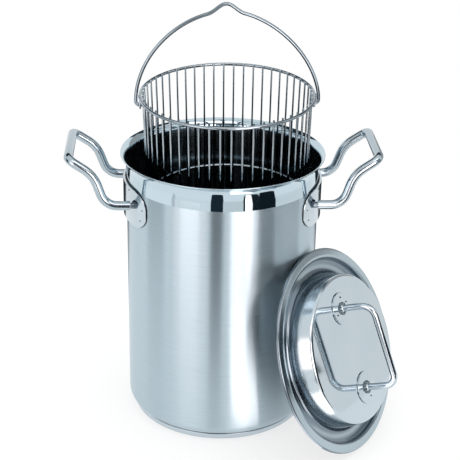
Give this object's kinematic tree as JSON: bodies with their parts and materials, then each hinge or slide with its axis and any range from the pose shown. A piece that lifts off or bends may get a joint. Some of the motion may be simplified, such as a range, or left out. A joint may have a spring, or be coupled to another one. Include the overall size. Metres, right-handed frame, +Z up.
{
  "type": "pot with insert",
  "caption": "Tall round steel pot with two wire-form side handles, a lift-out wire basket with a swinging bail, and a drum-topped lid with a bent rod handle.",
  "frame": {"origin": "middle of the underside of the pot's base, on the surface that the pot stands on", "axes": "+Z up along the pot's axis, +X towards the right handle, -Y towards the pictured front"},
  "size_m": [0.2793, 0.2226, 0.3601],
  "materials": {
    "satin_steel": "satin, brushed round the body, with a polished band under the rim",
    "polished_steel": "mirror polished",
    "wire_steel": "bright drawn wire",
    "core_aluminium": "plain, hidden in the base"
  },
  "bodies": {
    "pot": {"pot_shell": "satin_steel", "base_cap": "polished_steel", "base_core": "core_aluminium", "right_handle": "polished_steel", "right_handle_plate": "polished_steel", "right_handle_stud_front": "polished_steel", "right_handle_stud_rear": "polished_steel", "left_handle": "polished_steel", "left_handle_plate": "polished_steel", "left_handle_stud_front": "polished_steel", "left_handle_stud_rear": "polished_steel"},
    "basket": {"basket_top_ring": "wire_steel", "basket_middle_ring": "wire_steel", "basket_bottom_grid": "wire_steel", "basket_wire_01": "wire_steel", "basket_wire_02": "wire_steel", "basket_wire_03": "wire_steel", "basket_wire_04": "wire_steel", "basket_wire_05": "wire_steel", "basket_wire_06": "wire_steel", "basket_wire_07": "wire_steel", "basket_wire_08": "wire_steel", "basket_wire_09": "wire_steel", "basket_wire_10": "wire_steel", "basket_wire_11": "wire_steel", "basket_wire_12": "wire_steel", "basket_wire_13": "wire_steel", "basket_wire_14": "wire_steel", "basket_wire_15": "wire_steel", "basket_wire_16": "wire_steel", "basket_wire_17": "wire_steel", "basket_wire_18": "wire_steel", "basket_wire_19": "wire_steel", "basket_wire_20": "wire_steel", "basket_wire_21": "wire_steel", "basket_wire_22": "wire_steel", "basket_wire_23": "wire_steel", "basket_wire_24": "wire_steel", "basket_wire_25": "wire_steel", "bail_eye_right": "wire_steel", "bail_eye_left": "wire_steel"},
    "bail": {"basket_bail": "wire_steel"},
    "lid": {"lid_shell": "polished_steel", "lid_handle": "polished_steel", "lid_rosette_upper": "polished_steel", "lid_rosette_lower": "polished_steel", "lid_handle_stud_upper": "polished_steel", "lid_handle_stud_lower": "polished_steel"}
  },
  "joints": [
    {"name": "basket_lift", "type": "slide", "parent": "pot", "child": "basket", "axis": [0, 0, 1], "range_m": [-0.05, 0.2]},
    {"name": "bail_swing", "type": "hinge", "parent": "basket", "child": "bail", "pos_m": [0.00288, -0.00411, 0.27492], "axis": [0.9999, -0.0006, 0.0105], "range_deg": [-55, 55]},
    {"name": "lid_lift", "type": "slide", "parent": "pot", "child": "lid", "axis": [0.763, -0.5244, 0.3778], "range_m": [0, 0.2]}
  ]
}
